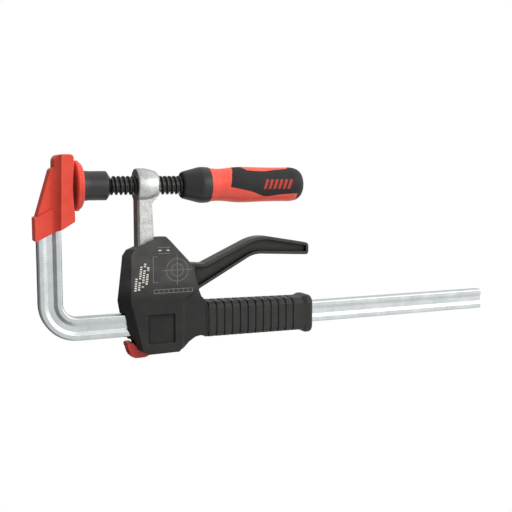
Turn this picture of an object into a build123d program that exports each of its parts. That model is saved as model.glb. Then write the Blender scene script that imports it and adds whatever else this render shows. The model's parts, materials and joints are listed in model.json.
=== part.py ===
from build123d import *
import math
import os

# Quick release bar clamp with a lever drive and a screw spindle. Millimetres, +Z up.
# The origin is where the spindle axis meets the fixed jaw's pressure face; +X runs along the
# rail to its free end. The carriage stands with the pad just short of the fixed jaw.

# ---- profile rail, bent up at its end into the fixed arm
RAIL_HEIGHT = 19.5
RAIL_THICK = 9.5
RAIL_GROOVE = 1.3  # depth of the long groove in each side
RAIL_FLANGE = 4.6  # height of the raised band above and below the groove
RAIL_SLOPE = 2.8  # height of the groove's slanted wall
RAIL_ROUND = 1.7  # rounding of the profile's four corners
RAIL_END_X = 411.7
BEND_INNER = 12.0
THROAT = 107.9  # from the spindle axis down to the rail
RAIL_TOP = -THROAT
RAIL_BOTTOM = RAIL_TOP - RAIL_HEIGHT
RAIL_MID = (RAIL_TOP + RAIL_BOTTOM) / 2
RAIL_DRAWN = 19.5  # the rail height for which the outlines of the housing are listed

# ---- fixed jaw: steel head plate on the arm, inside a red moulded cap
HEAD_DEPTH = 9.3  # from the arm's inner face to the pressure face
ARM_INNER_X = -HEAD_DEPTH
ARM_OUTER_X = ARM_INNER_X - RAIL_HEIGHT
CAP_TOP = 25.3
CAP_HALF = 15.5  # half the width of the pressure face
CAP_WALL = 2.6
COLLAR_WALL = 1.8  # behind the arm
CAP_FOOT = -44.0
CAP_LEAN = 1.9  # how much thicker the head is at the foot than at its top
RIB_HALF = 8.3  # half the width of the cap's rib over the arm
RIB_BLEND = 9.5  # length of the hollow blend from the rib to the head
COLLAR_HALF = 9.2
CAP_EDGE = 0.5  # bevel round the pressure face
CAP_CROWN = 6.0  # rounding of the head's outer top corner
FLANK_FLAT = 9.0  # half width of the face's flat middle
FLANK_DEEP = 1.3  # how far each flank is hollowed at the cap's side
FLANK_LOW, FLANK_HIGH = -23.0, 17.0
PLATE_LOW, PLATE_HIGH = -25.0, 22.0  # the head plate's lower and upper edge

# ---- swivel pad
PAD_GAP = 2.2  # opening left between the jaw and the pad at rest
PAD_RADIUS = 20.6
PAD_STEP_RADIUS = 19.1
PAD_RIM = 3.0  # thickness of the wide rim
PAD_THICK = 5.8
PAD_SKIN = 2.0
PAD_PLATE = 2.4
PAD_PLATE_RADIUS = 16.8
BALL_FROM_FACE = 11.8
BALL_RADIUS = 5.0
CUP_RADIUS = 6.8
RING_RADIUS = 8.2
RING_HALF = 2.4
BALL_FIT = 0.05  # radial clearance of each spherical seat
SLEEVE_RADIUS = 12.0
SLEEVE_FLARE = 12.9
SLEEVE_LENGTH = 20.3
SLEEVE_TAPER = 3.1
SLEEVE_MOUTH = 6.3
SLEEVE_END_RADIUS = 7.5
NECK_RADIUS = 4.0

# ---- spindle and handle
SPINDLE_RADIUS = 8.0
SPINDLE_FIT = 0.06  # radial clearance in the eye of the arm
THREAD_GAP = 1.0  # bare neck between sleeve and thread
NOSE_X = 93.1
NOSE_LENGTH = 24.4
NOSE_RADIUS = 15.55
HANDLE_LENGTH = 113.1
HANDLE_RADIUS = 15.35
WAIST_RADIUS = 14.1
SKIN = 1.8  # thickness of the soft panels let into the handle
# the soft panel's outline from CORE_X: along its upper edge from the right, its left edge, its lower edge
PANEL_LINE = [(80, 17.3), (73, 14.0), (62, 13.1), (49.5, 11.8), (41, 12.0), (33.5, 12.7), (27, 17.3),
              (21.9, 17.3), (18.2, 8.5), (16.3, -1.7), (35.1, -5.5), (48.6, -10.1), (53, -10.2),
              (65.5, -8.5), (79.8, -7.9)]
PANEL_ROUND = 1.2
TANG_RADIUS = 6.0
TANG_LENGTH = 48.0
HANDLE_PIN_RADIUS = 2.0

# ---- sliding arm, a forging whose eye holds the spindle
ARM_X = 53.1  # left face of the arm
ARM_WIDE = 13.6
ARM_HALF = 8.0
ARM_EDGE = 1.6  # bevel along the arm's left corners
ARM_WAIST = 1.2  # how much narrower the arm is under the eye
EYE_RADIUS = 14.3
EYE_LENGTH = 19.5
ARM_FOOT = 6.0  # steel below the rail
SLIDE_GAP = 0.3  # between rail and everything that slides on it
NUB = 3.0

# ---- housing: two moulded shells round arm and drive
HOUSE_X = 53.6  # its outlines are measured from here and from the rail's top
FORE_HALF = 13.2  # half width of the fore part, beside the grip
PANEL_HALF = 15.5  # half width over the raised panels
SHELL_WALL = 2.4
PANEL_WALL = 3.3
SHOULDER_DROP = 3.0  # the rear panel's upper edge lies this much lower
RECESS_DEEP = 1.5
RECESS_SLOPE = 1.0  # run of its slanted sides
RECESS_ROUND = 1.0
RECESS_LEFT, RECESS_RIGHT = 58.3, 82.2
RECESS_TOP, RECESS_LOW = 0.3, 25.5  # below the rail's top
FIT = 0.1  # between pieces that are fixed to each other
PASS = 0.6  # rail passage through the mouldings
RUN = 0.4  # side clearance of the lever and the release bar
NECK_X = 111.4  # right end of the shells, where the grip starts
SPIGOT = 9.0
GRIP_WALL = 2.3  # grip over the spigot
SCREW_RADIUS = 1.6
SCREW_HEAD = 3.0
SCREW_HEAD_THICK = 1.5
SCREW_LENGTH = 22.0

# ---- grip
GRIP_RIGHT = 214.1
GRIP_HALF = 13.0
GRIP_CORNER = 5.5
GRIP_OVER, GRIP_UNDER = 6.8, 4.6  # above and below the rail at the grip's left end
GRIP_FALL, GRIP_SWELL = 1.7, 0.9  # how far top and bottom drop towards its right end
FLANGE_OVER, FLANGE_UNDER = 6.9, 8.0
FLANGE_SIDE = 1.6
RIB_COUNT = 12
RIB_PITCH = 7.4
GROOVE_WIDE = 1.5
GROOVE_DEEP = 1.0
FLANGE_THICK = 5.4
FLARE = 4.2  # length over which the grip widens to its flange

# ---- trigger lever and drive
PIVOT_X, PIVOT_Z = 97.0, RAIL_TOP + 12.9
PIVOT_RADIUS = 2.5
PIN_FIT = 0.05
HUB_RADIUS = 5.0
LEVER_HALF = 8.0
LEVER_WEB = 5.0
LEVER_RIM = 2.9
# the lever's outline from its pivot: points along the top, then the tip, then back along the underside
LEVER_LINE = [(-1.5, 28.6), (14.6, 27.0), (65.9, 50.5), (115.5, 41.9), (115.5, 31.2), (61.4, 34.0),
              (10.4, 6.0), (4.8, 1.0), (-3.5, 1.0)]
LEVER_ELBOW, LEVER_CREST, LEVER_BELLY = 6.0, 40.0, 24.0  # roundings of its corners
TIP_OVER, TIP_UNDER = 3.6, 2.8
POCKET_LEFT = 6.0  # from the pivot to the left end of the lever's side pockets
DRIVE_PIN_RADIUS = 2.0
DRIVE_PIN_X, DRIVE_PIN_Z = 80.0, RAIL_TOP + 23.9
DRIVE_PLATE = 2.2
PLATE_HALF = 10.0
PLATE_NECK = 5.0
PLATE_OVER, PLATE_UNDER = 5.0, 5.5  # drive and brake plates past the rail
COIL_GAP = 0.4
WIRE_RADIUS = 0.5
COIL_SIDES = 20  # straight pieces to one turn of a spring
SEAT_THICK = 2.0  # housing rib that both springs lean on
SEAT_EDGE = 5.0  # how far that rib stands past the rail
SPRING_ROOM = 9.2  # from the drive plates to the wall behind their spring

# ---- brake plate and release bar
BRAKE_X = 70.0
BRAKE_THICK = 4.0
BRAKE_TILT = 5.0
BRAKE_TOP = RAIL_TOP + 7.4
TONGUE_REACH = 12.0  # the brake plate's tongue below the rail
TONGUE_HALF = 4.0
BAR_HALF = 7.0
TOOTH = 2.1
TOOTH_COUNT = 5
# the release bar's outline from HOUSE_X and the rail's underside
BAR_LINE = [(-11.4, -6.9), (-10.1, -5.3), (-6.0, -5.0), (-4.2, -7.6), (23.4, -7.6), (23.4, -11.7),
            (8.6, -11.7), (8.0, -16.6), (4.4, -18.1), (-4.0, -18.3), (-8.2, -16.3)]
BAR_ROUND = 0.9
TOOTH_SIZE = 1.1


def at_y(y):
    """A sketch plane at this y, whose own x and y run along X and Z."""
    return Plane.XZ.offset(-y)


def plate(face, low, high):
    """A sketch in X and Z made solid from y = low to y = high."""
    return extrude(at_y(high) * face, amount=high - low)


def outline(points):
    return make_face(Polyline(*points, close=True))


def rounded(points, corners):
    """A polygon whose corners are rounded as (radius, indices of its points) pairs say."""
    face = outline(points)
    for radius, picks in corners:
        places = [Vector(*points[i]) for i in picks]
        chosen = [v for v in face.vertices() if any((v.center() - p).length < 1e-6 for p in places)]
        face = fillet(chosen, radius)
    return face


def block(x, y, z):
    """A box between three (low, high) pairs."""
    sizes = [high - low for low, high in (x, y, z)]
    middle = [(low + high) / 2 for low, high in (x, y, z)]
    return Pos(*middle) * Box(*sizes)


def turned(points):
    """A solid of revolution about the spindle axis from (x, radius) points."""
    return revolve(Plane.XZ * outline(points), axis=Axis.X)


def pin_y(x, z, radius, low, high):
    return plate(Pos(x, z) * Circle(radius), low, high)


def ball(radius):
    return Pos(BALL_X, 0, 0) * Sphere(radius)


# ---------------------------------------------------------------- places worked out from the sizes
PAD_X = PAD_GAP
BALL_X = PAD_X + BALL_FROM_FACE
SLEEVE_X = PAD_X + PAD_THICK
SLEEVE_END_X = SLEEVE_X + SLEEVE_LENGTH + SLEEVE_TAPER
THREAD_X = SLEEVE_END_X + THREAD_GAP
CORE_X = NOSE_X + NOSE_LENGTH
HANDLE_END_X = NOSE_X + HANDLE_LENGTH
EYE_X = ARM_X + 0.1
ARM_RIGHT = ARM_X + ARM_WIDE
ARM_LOW = RAIL_BOTTOM - SLIDE_GAP - ARM_FOOT
HEAD_SEAT = PANEL_HALF - SCREW_HEAD_THICK - 0.3
SCREW_TIP = HEAD_SEAT - SCREW_LENGTH
SEAT_X = DRIVE_PIN_X
DRIVE_X = DRIVE_PIN_X + DRIVE_PIN_RADIUS + SLIDE_GAP
DRIVE_RIGHT = DRIVE_X + 2 * DRIVE_PLATE
SPRING_STOP_X = DRIVE_RIGHT + SPRING_ROOM
RAIL_REACH = math.hypot(RAIL_HEIGHT / 2 - RAIL_ROUND, RAIL_THICK / 2 - RAIL_ROUND) + RAIL_ROUND
COIL_RADIUS = RAIL_REACH + COIL_GAP + WIRE_RADIUS
BRAKE_REACH = BRAKE_TOP - RAIL_BOTTOM + TONGUE_REACH
INSIDE_HALF = PANEL_HALF - PANEL_WALL
FORE_INSIDE = FORE_HALF - SHELL_WALL
PIVOT_PIN_HALF = FORE_HALF - SHELL_WALL / 2


def house(points):
    """Points given from HOUSE_X and the rail's top, as X and Z; those further down follow its underside."""
    fall = RAIL_DRAWN - RAIL_HEIGHT
    return [(HOUSE_X + dx, RAIL_TOP + dz + (fall if dz < -RAIL_DRAWN / 2 else 0)) for dx, dz in points]


# ---------------------------------------------------------------- rail and fixed jaw
def rail_section():
    half, wide = RAIL_HEIGHT / 2, RAIL_THICK / 2
    edge, foot = half - RAIL_FLANGE, half - RAIL_FLANGE - RAIL_SLOPE
    deep = wide - RAIL_GROOVE
    side = [(-half, wide), (-edge, wide), (-foot, deep), (foot, deep), (edge, wide), (half, wide)]
    points = side + [(u, -v) for u, v in reversed(side)]
    return rounded(points, [(RAIL_ROUND, (0, 5, 6, 11))])


def profile_rail():
    bend = BEND_INNER + RAIL_HEIGHT / 2
    corner_x, corner_z = ARM_INNER_X + BEND_INNER, RAIL_TOP + BEND_INNER
    flat = Plane(origin=(corner_x, 0, RAIL_MID), x_dir=(0, 0, 1), z_dir=(1, 0, 0)) * rail_section()
    upright = Plane(origin=(ARM_INNER_X - RAIL_HEIGHT / 2, 0, corner_z), x_dir=(1, 0, 0), z_dir=(0, 0, 1))
    run = extrude(flat, amount=RAIL_END_X - corner_x)
    arm = extrude(upright * rail_section(), amount=CAP_TOP - CAP_WALL - corner_z)
    turn = revolve(flat, axis=Axis((corner_x, 0, corner_z), (0, 1, 0)), revolution_arc=90)
    bar = run + turn + arm
    return bar - plate(outline(above_arm()), -RAIL_THICK, RAIL_THICK)


WEDGE_LOW = (ARM_OUTER_X, -24.2)
WEDGE_HIGH = (ARM_INNER_X - 8.1, 13.4)


def above_arm():
    """The region over the arm's slanting upper end."""
    drop = CAP_WALL * (WEDGE_HIGH[1] - WEDGE_LOW[1]) / (WEDGE_HIGH[0] - WEDGE_LOW[0])
    low = (WEDGE_LOW[0] - 1, WEDGE_LOW[1] - drop - 1 * drop / CAP_WALL)
    high = (WEDGE_HIGH[0] + CAP_WALL, WEDGE_HIGH[1])
    return [low, high, (ARM_INNER_X + 1, high[1]), (ARM_INNER_X + 1, CAP_TOP), (low[0], CAP_TOP)]


def jaw_plate():
    middle = (PLATE_LOW + PLATE_HIGH) / 2
    face = Plane(origin=(ARM_INNER_X, 0, middle), x_dir=(0, 1, 0), z_dir=(1, 0, 0))
    size = RectangleRounded(2 * (CAP_HALF - CAP_WALL), PLATE_HIGH - PLATE_LOW, 3)
    return extrude(face * size, amount=HEAD_DEPTH - CAP_WALL)


def flank_cutter(side):
    """A wide tilted cylinder that hollows one flank of the pressure face."""
    run = CAP_HALF - FLANK_FLAT
    tilt = math.atan2(FLANK_DEEP, run)
    chord = (FLANK_HIGH - FLANK_LOW) / 2
    radius = (chord**2 + FLANK_DEEP**2) / (2 * FLANK_DEEP)
    x = -FLANK_DEEP / 2 + radius * math.cos(tilt)
    y = side * (FLANK_FLAT + run / 2 + radius * math.sin(tilt))
    axis = Rot(0, 0, side * math.degrees(tilt)) * Rot(90, 0, 0)
    return Pos(x, y, (FLANK_LOW + FLANK_HIGH) / 2) * axis * Cylinder(radius, 3 * run)


def cap_plan(z):
    """The cap's section at a height: the rib over the arm widens into the head."""
    left = ARM_OUTER_X - COLLAR_WALL
    slab = ARM_INNER_X - 0.5 - CAP_LEAN * (CAP_TOP - z) / (CAP_TOP - CAP_FOOT)
    corner = slab - RIB_BLEND
    rib = Polyline((corner, -RIB_HALF), (left, -RIB_HALF), (left, RIB_HALF), (corner, RIB_HALF))
    head = Polyline((slab, CAP_HALF), (0, CAP_HALF), (0, -CAP_HALF), (slab, -CAP_HALF))
    blends = [
        TangentArc((corner, side * RIB_HALF), (slab, side * CAP_HALF), tangent=(1, 0)) for side in (-1, 1)
    ]
    return Plane.XY.offset(z) * make_face(rib + head + blends)


def jaw_cap(rail, inner):
    left, slab = ARM_OUTER_X - COLLAR_WALL, ARM_INNER_X - 0.5
    outer, inside = ARM_OUTER_X, ARM_INNER_X
    head = rounded(
        [(outer - 0.2, -43.4), (outer - 0.2, -24.9), WEDGE_LOW, WEDGE_HIGH, (inside - 5.2, 15.0),
         (inside - 5.2, CAP_TOP), (0, CAP_TOP), (0, -28.3), (inside - 0.4, -34.2), (inside - 4.8, -36.1)],
        [(2.6, (3,)), (CAP_CROWN, (5,)), (3.0, (6,)), (1.6, (7,))],
    )
    collar = outline(
        [(left, -43.9), (left, -25.2), (outer, -24.2), (inside - 4.4, -16.1), (slab, -14), (slab, -34.3),
         (inside - 4.8, -36.1), (outer - 0.8, -43.9)]
    )
    body = loft([cap_plan(2 * CAP_FOOT), cap_plan(2 * CAP_TOP)], ruled=True)
    body = (body & plate(head, -CAP_HALF, CAP_HALF)) + plate(collar, -COLLAR_HALF, COLLAR_HALF)
    front = body.faces().sort_by(Axis.X)[-1]
    body = chamfer(front.edges(), CAP_EDGE)
    return body - rail - inner - flank_cutter(-1) - flank_cutter(1)


# ---------------------------------------------------------------- pad
def pad_cap(steel):
    edge = 0.9
    body = turned(
        [(PAD_X, 0), (PAD_X, PAD_RADIUS - edge), (PAD_X + edge, PAD_RADIUS),
         (PAD_X + PAD_RIM, PAD_RADIUS), (PAD_X + PAD_RIM, PAD_STEP_RADIUS),
         (SLEEVE_X - 1.6, PAD_STEP_RADIUS), (SLEEVE_X, PAD_STEP_RADIUS - 1.6), (SLEEVE_X, 0)]
    )
    mouth = Pos(SLEEVE_X, 0, 0) * Rot(0, 90, 0) * Cylinder(
        SLEEVE_FLARE + FIT, 2 * (PAD_THICK - PAD_SKIN - PAD_PLATE)
    )
    return body - steel - ball(RING_RADIUS + BALL_FIT) - mouth


def pressure_plate():
    x = PAD_X + PAD_SKIN
    disc = turned([(x, 0), (x, PAD_PLATE_RADIUS), (x + PAD_PLATE, PAD_PLATE_RADIUS), (x + PAD_PLATE, 0)])
    return disc - ball(RING_RADIUS + BALL_FIT)


def swivel_sleeve():
    low, high = PAD_X + PAD_SKIN + PAD_PLATE, SLEEVE_END_X
    waist = SLEEVE_X + SLEEVE_LENGTH
    body = turned(
        [(low, 0), (low, SLEEVE_FLARE), (SLEEVE_X, SLEEVE_FLARE), (SLEEVE_X + 2, SLEEVE_FLARE - 0.5),
         (SLEEVE_X + 6, SLEEVE_RADIUS), (waist, SLEEVE_RADIUS + 0.1), (high, SLEEVE_END_RADIUS), (high, 0)]
    )
    mouth = Pos((BALL_X + high) / 2 + 1, 0, 0) * Rot(0, 90, 0) * Cylinder(SLEEVE_MOUTH, high - BALL_X + 2)
    return body - ball(RING_RADIUS + BALL_FIT) - mouth


def retaining_ring():
    band = Pos(BALL_X, 0, 0) * Rot(0, 90, 0) * Cylinder(RING_RADIUS + 1, 2 * RING_HALF)
    return (ball(RING_RADIUS) & band) - ball(CUP_RADIUS + BALL_FIT)


def ball_cup():
    mouth = Pos(BALL_X + CUP_RADIUS, 0, 0) * Rot(0, 90, 0) * Cylinder(NECK_RADIUS + 0.4, 2 * CUP_RADIUS)
    return ball(CUP_RADIUS) - ball(BALL_RADIUS + BALL_FIT) - mouth


# ---------------------------------------------------------------- spindle and handle
def spindle(cross_pin):
    tang = CORE_X + TANG_LENGTH
    shaft = turned(
        [(BALL_X, 0), (BALL_X, NECK_RADIUS), (THREAD_X, NECK_RADIUS), (THREAD_X, SPINDLE_RADIUS - 1.2),
         (THREAD_X + 1.2, SPINDLE_RADIUS), (NOSE_X + 6, SPINDLE_RADIUS), (NOSE_X + 6, TANG_RADIUS),
         (tang, TANG_RADIUS), (tang, 0)]
    )
    return shaft + ball(BALL_RADIUS) - cross_pin


def handle_profile(inset):
    """The handle's outline, as (x, radius) points, set in by an amount."""
    full, end = HANDLE_RADIUS - inset, HANDLE_END_X - inset
    return [
        (CORE_X, HANDLE_RADIUS - 0.4 - inset),
        (CORE_X + 12.8, WAIST_RADIUS - inset),
        (CORE_X + 23.9, full - 0.05),
        ((CORE_X + HANDLE_END_X) / 2, full),
        (end - 15.0, full - 0.15),
        (end - 6.0, full - 0.9),
        (end - 1.9, full - 3.2),
        (end, full - 7.2),
    ]


def handle_body(inset):
    points = handle_profile(inset)
    edge = Line((CORE_X, 0), points[0]) + Spline(*points) + Line(points[-1], (points[-1][0], 0))
    edge = edge + Line((points[-1][0], 0), (CORE_X, 0))
    return revolve(Plane.XZ * make_face(edge), axis=Axis.X)


def handle_nose(shaft):
    x, r = NOSE_X, NOSE_RADIUS
    body = turned(
        [(x, 0), (x, r - 6.0), (x + 0.6, r - 4.6), (x + 2.0, r - 3.8), (x + 15.5, r - 0.3), (x + 17.7, r),
         (x + NOSE_LENGTH - 4.4, r), (CORE_X, HANDLE_RADIUS - 0.1), (CORE_X, 0)]
    )
    return body - shaft


def panel_outline():
    """One soft panel, in X and Z, on the side of the handle that faces -Y."""
    over, end = HANDLE_RADIUS + 2, HANDLE_END_X - 6.5
    points = [(CORE_X + dx, dz) for dx, dz in PANEL_LINE]
    around = [(end, PANEL_LINE[-1][1]), (end, over), (points[0][0] + 3, over)]
    return rounded(points[::-1] + around[::-1], [(PANEL_ROUND, (len(points) - 4, len(points) - 3))])


def handle_parts(shaft, cross_pin):
    whole, inner = handle_body(0), handle_body(SKIN)
    layer = whole - inner
    side = plate(panel_outline(), -HANDLE_RADIUS - 2, -0.5)
    panels = side + Rot(180, 0, 0) * side
    wide = 2 * HANDLE_RADIUS
    cap = block((HANDLE_END_X - 7.5, HANDLE_END_X + 1), (-wide, wide), (-wide, wide))
    insert = layer & (panels + cap)
    core = whole - insert - shaft - cross_pin
    return core, insert


def handle_pin():
    return pin_y(CORE_X + 14, 0, HANDLE_PIN_RADIUS, -WAIST_RADIUS + 1.5, WAIST_RADIUS - 1.5)


# ---------------------------------------------------------------- sliding arm
def sliding_arm():
    x, r = EYE_X, EYE_RADIUS
    eye = turned(
        [(x, 0), (x, r - 0.5), (x + 1.2, r), (x + 7, r), (x + 12.5, r - 1.0), (x + 17.2, r - 2.6),
         (x + EYE_LENGTH, r - 5.2), (x + EYE_LENGTH, 0)]
    )
    waist = ARM_RIGHT - ARM_WAIST
    side = rounded(
        [(ARM_X, 0), (ARM_X, ARM_LOW), (ARM_RIGHT, ARM_LOW), (ARM_RIGHT, -r * 3), (waist, -r * 1.06),
         (x + EYE_LENGTH, -r * 0.5), (x + EYE_LENGTH, -r * 0.4), (x + 3, 0)],
        [(3.0, (4,))],
    )
    stem = plate(side, -ARM_HALF, ARM_HALF)
    upright = [e for e in stem.edges().filter_by(Axis.Z) if e.center().X < ARM_X + 0.1]
    stem = chamfer(upright, ARM_EDGE)
    nub = block((ARM_RIGHT - 0.5, ARM_RIGHT + NUB), (-ARM_HALF, ARM_HALF), (BRAKE_TOP - 1, BRAKE_TOP + 2))
    gap = SLIDE_GAP
    window = block(
        (ARM_X - 5, ARM_RIGHT + 5), (-RAIL_THICK / 2 - gap, RAIL_THICK / 2 + gap),
        (RAIL_BOTTOM - gap, RAIL_TOP + gap),
    )
    bore = Pos(x + EYE_LENGTH / 2, 0, 0) * Rot(0, 90, 0) * Cylinder(
        SPINDLE_RADIUS + SPINDLE_FIT, EYE_LENGTH + 2
    )
    return eye + stem + nub - window - bore


# ---------------------------------------------------------------- housing shells
# Outlines by HOUSE_X and the rail's top, clockwise from the upper left corner. The rim runs where the
# shells meet and the panels stand proud of it; the fore part, right of the panels, has its own edge.
RIM_UPPER = [(-12.8, 46.5), (-8.0, 54.4), (12.4, 61.8), (15.2, 64.4), (21.6, 64.6), (25.6, 61.6),
             (41.8, 44.6), (45.9, 38.4), (52.0, 19.8)]
PANEL_UPPER = [(-8.9, 50.5), (-5.4, 55.6), (12.6, 62.9), (15.6, 65.5), (21.2, 65.6), (24.8, 62.2),
               (41.0, 44.4), (45.0, 38.2), (50.4, 19.6)]
RIM_LOWER = [(33.5, -34.8), (5.4, -35.2), (-5.0, -29.8), (-12.0, -16.5), (-15.7, 1.6), (-17.3, 11.4)]
PANEL_LOWER = [(32.3, -33.6), (5.4, -34.0), (0.2, -30.8), (-3.7, -13.5), (-7.4, 2.8), (-9.6, 10.0)]
FORE_RIM = [(53.8, 12.9), (57.8, 8.6), (57.8, -23.2), (52.2, -21.9), (47.6, -22.8), (42.0, -26.5),
            (37.4, -31.6)]
FORE_EDGE = [(53.2, 12.8), (57.8, 8.2), (57.8, -22.8), (52.2, -21.4), (47.6, -22.3), (41.8, -26.0),
             (37.0, -31.0)]
CREASE = [(37.3, 11.6), (35.5, 8.2), (35.3, -27.9)]
CREASE_FOOT = [(39.6, 9.9), (38.2, 6.9), (37.9, -28.7)]
SHOULDER_Z = 45.0  # what stands higher than this belongs to the upper edge
SCREWS = [(-4.3, 40.5), (-4.3, 10.5), (20.4, 54.9), (30.3, 46.4), (30.4, -29.3)]


def mixed(first, second, share):
    """Points between two outlines of equal length."""
    return [(a + (c - a) * share, b + (d - b) * share) for (a, b), (c, d) in zip(first, second)]


def lowered(points, side):
    """The rear shell's panel has its upper edge lower."""
    drop = SHOULDER_DROP if side > 0 else 0
    return [(x, z - drop if z > SHOULDER_Z else z) for x, z in points]


def inset(points, gap):
    """A clockwise outline moved inwards by a gap, corner by corner."""
    moved = []
    for k, here in enumerate(points):
        before, after = points[k - 1], points[(k + 1) % len(points)]
        first = Vector(here[0] - before[0], here[1] - before[1]).normalized()
        second = Vector(after[0] - here[0], after[1] - here[1]).normalized()
        inward = Vector(first.Y + second.Y, -first.X - second.X)
        inward = inward * (2 * gap / inward.length ** 2)
        moved.append((here[0] + inward.X, here[1] + inward.Y))
    return moved


def side_outline(side, y):
    """One shell's outline below its panel at a distance y from the parting line."""
    rim = RIM_UPPER + FORE_RIM + RIM_LOWER
    upper, lower = (
        mixed(rim_part, panel_part, FORE_HALF / PANEL_HALF)
        for rim_part, panel_part in ((RIM_UPPER, lowered(PANEL_UPPER, side)), (RIM_LOWER, PANEL_LOWER))
    )
    return house(mixed(rim, upper + FORE_EDGE + lower, y / FORE_HALF))


def drafted(side, low, low_points, high, high_points):
    """A shell's layer between two outlines at two distances from the parting line."""
    near = at_y(side * low) * outline(low_points)
    far = at_y(side * high) * outline(high_points)
    return loft([near, far], ruled=True)


def shell_outside(side):
    """One shell's outer form; side is -1 for the front and 1 for the rear."""
    body = drafted(side, 0, side_outline(side, 0), FORE_HALF, side_outline(side, FORE_HALF))
    foot = side_outline(side, FORE_HALF)
    foot = foot[:len(RIM_UPPER)] + house(CREASE_FOOT) + foot[-len(RIM_LOWER):]
    face = house(lowered(PANEL_UPPER, side) + CREASE + PANEL_LOWER)
    return body + drafted(side, FORE_HALF, foot, PANEL_HALF, face)


def shell_inside(side):
    """The hollow in one shell: it follows the outer form, and is shallower under the fore part."""
    low = inset(side_outline(side, 0), SHELL_WALL)
    high = inset(side_outline(side, INSIDE_HALF), SHELL_WALL)
    hollow = drafted(side, 0, low, INSIDE_HALF, high)
    left = HOUSE_X + CREASE[2][0] - SHELL_WALL
    fore = block((left, NECK_X), sorted((side * FORE_INSIDE, side * PANEL_HALF)), (2 * RAIL_BOTTOM, 0))
    return hollow - fore


def grip_box(x, inset):
    """Middle, height and half width of the grip's section at x."""
    share = (x - NECK_X) / (GRIP_RIGHT - FLANGE_THICK - NECK_X)
    top = RAIL_TOP + GRIP_OVER - GRIP_FALL * share - inset
    low = RAIL_BOTTOM - GRIP_UNDER - GRIP_SWELL * share + inset
    return (top + low) / 2, top - low, GRIP_HALF - inset


def section(middle, height, half, corner, x):
    here = Plane(origin=(x, 0, middle), x_dir=(0, 1, 0), z_dir=(1, 0, 0))
    return here * RectangleRounded(2 * half, height, corner)


def rail_way(low, high, gap):
    wide = RAIL_THICK / 2 + gap
    return block((low, high), (-wide, wide), (RAIL_BOTTOM - gap, RAIL_TOP + gap))


def spigot(gap):
    middle, height, half = grip_box(NECK_X + SPIGOT, GRIP_WALL - gap)
    return extrude(section(middle, height, half, 3.0, NECK_X), amount=SPIGOT + gap)


def recess(side):
    """The shallow field with slanted sides in the panel's lower half."""
    middle = Pos((RECESS_LEFT + RECESS_RIGHT) / 2, RAIL_TOP - (RECESS_TOP + RECESS_LOW) / 2)
    layers = []
    for share in (1, -1):
        wide = RECESS_RIGHT - RECESS_LEFT - 2 * RECESS_SLOPE * share
        high = RECESS_LOW - RECESS_TOP - 2 * RECESS_SLOPE * share
        here = at_y(side * (PANEL_HALF - RECESS_DEEP * share)) * middle
        layers.append(here * RectangleRounded(wide, high, RECESS_ROUND))
    return loft(layers, ruled=True)


def housing_shell(side):
    wide, low, deep = 2 * PANEL_HALF, 2 * RAIL_BOTTOM, INSIDE_HALF
    half = block((0, RAIL_END_X), sorted((0, side * wide)), (low, 0))
    outer = shell_outside(side) + (spigot(0) & half)
    cavity = shell_inside(side)
    cavity -= block((SPRING_STOP_X, RAIL_END_X), (-wide, wide), (low, RAIL_TOP + SEAT_EDGE))
    cavity += Pos(SPRING_STOP_X - SPRING_ROOM, 0, RAIL_MID) * Rot(0, 90, 0) * Cylinder(
        COIL_RADIUS + WIRE_RADIUS + RUN, SPRING_ROOM, align=(Align.CENTER, Align.CENTER, Align.MIN)
    )
    pillars = Part()
    for x, z in house(SCREWS):
        pillars += pin_y(x, z, 3.0, *sorted((0, side * deep)))
    pillars += pin_y(PIVOT_X, PIVOT_Z, 4.6, *sorted((side * (LEVER_HALF + RUN), side * deep)))
    seat = block(
        (SEAT_X, SEAT_X + SEAT_THICK), sorted((0, side * deep)),
        (RAIL_BOTTOM - SEAT_EDGE, RAIL_TOP + SEAT_EDGE),
    )
    body = (outer - cavity) + (pillars & outer) + seat
    body -= rail_way(0, RAIL_END_X, PASS)
    body -= plate(outline(lever_slot()), -LEVER_HALF - RUN, LEVER_HALF + RUN)
    body -= block((0, HOUSE_X + 12.5), (-BAR_HALF - RUN, BAR_HALF + RUN), (low, RAIL_BOTTOM - 2.4))
    body -= pin_y(PIVOT_X, PIVOT_Z, PIVOT_RADIUS, -PIVOT_PIN_HALF, PIVOT_PIN_HALF)
    body -= block((ARM_X - FIT, ARM_RIGHT + 0.6), (-ARM_HALF - FIT, ARM_HALF + FIT), (ARM_LOW - FIT, -30))
    body -= recess(side)
    for x, z in house(SCREWS):
        body -= pin_y(x, z, SCREW_RADIUS, SCREW_TIP, PANEL_HALF)
        body -= pin_y(x, z, SCREW_HEAD + 0.2, HEAD_SEAT, PANEL_HALF + 2)
    return body


def lever_slot():
    left, low = PIVOT_X - HUB_RADIUS, PIVOT_Z - 2.2
    right, top = NECK_X + 5, PIVOT_Z + 40
    return [(left, PIVOT_Z), (left, top), (right, top), (right, low), (left, low)]


def screw(x, z):
    shank = pin_y(x, z, SCREW_RADIUS, SCREW_TIP, HEAD_SEAT)
    head = pin_y(x, z, SCREW_HEAD, HEAD_SEAT, HEAD_SEAT + SCREW_HEAD_THICK)
    top = HEAD_SEAT + SCREW_HEAD_THICK
    cross = block((x - 1.6, x + 1.6), (top - 0.8, top + 1), (z - 0.35, z + 0.35))
    return shank + (head - cross - Pos(x, 0, z) * Rot(0, 90, 0) * Pos(-x, 0, -z) * cross)


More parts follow.
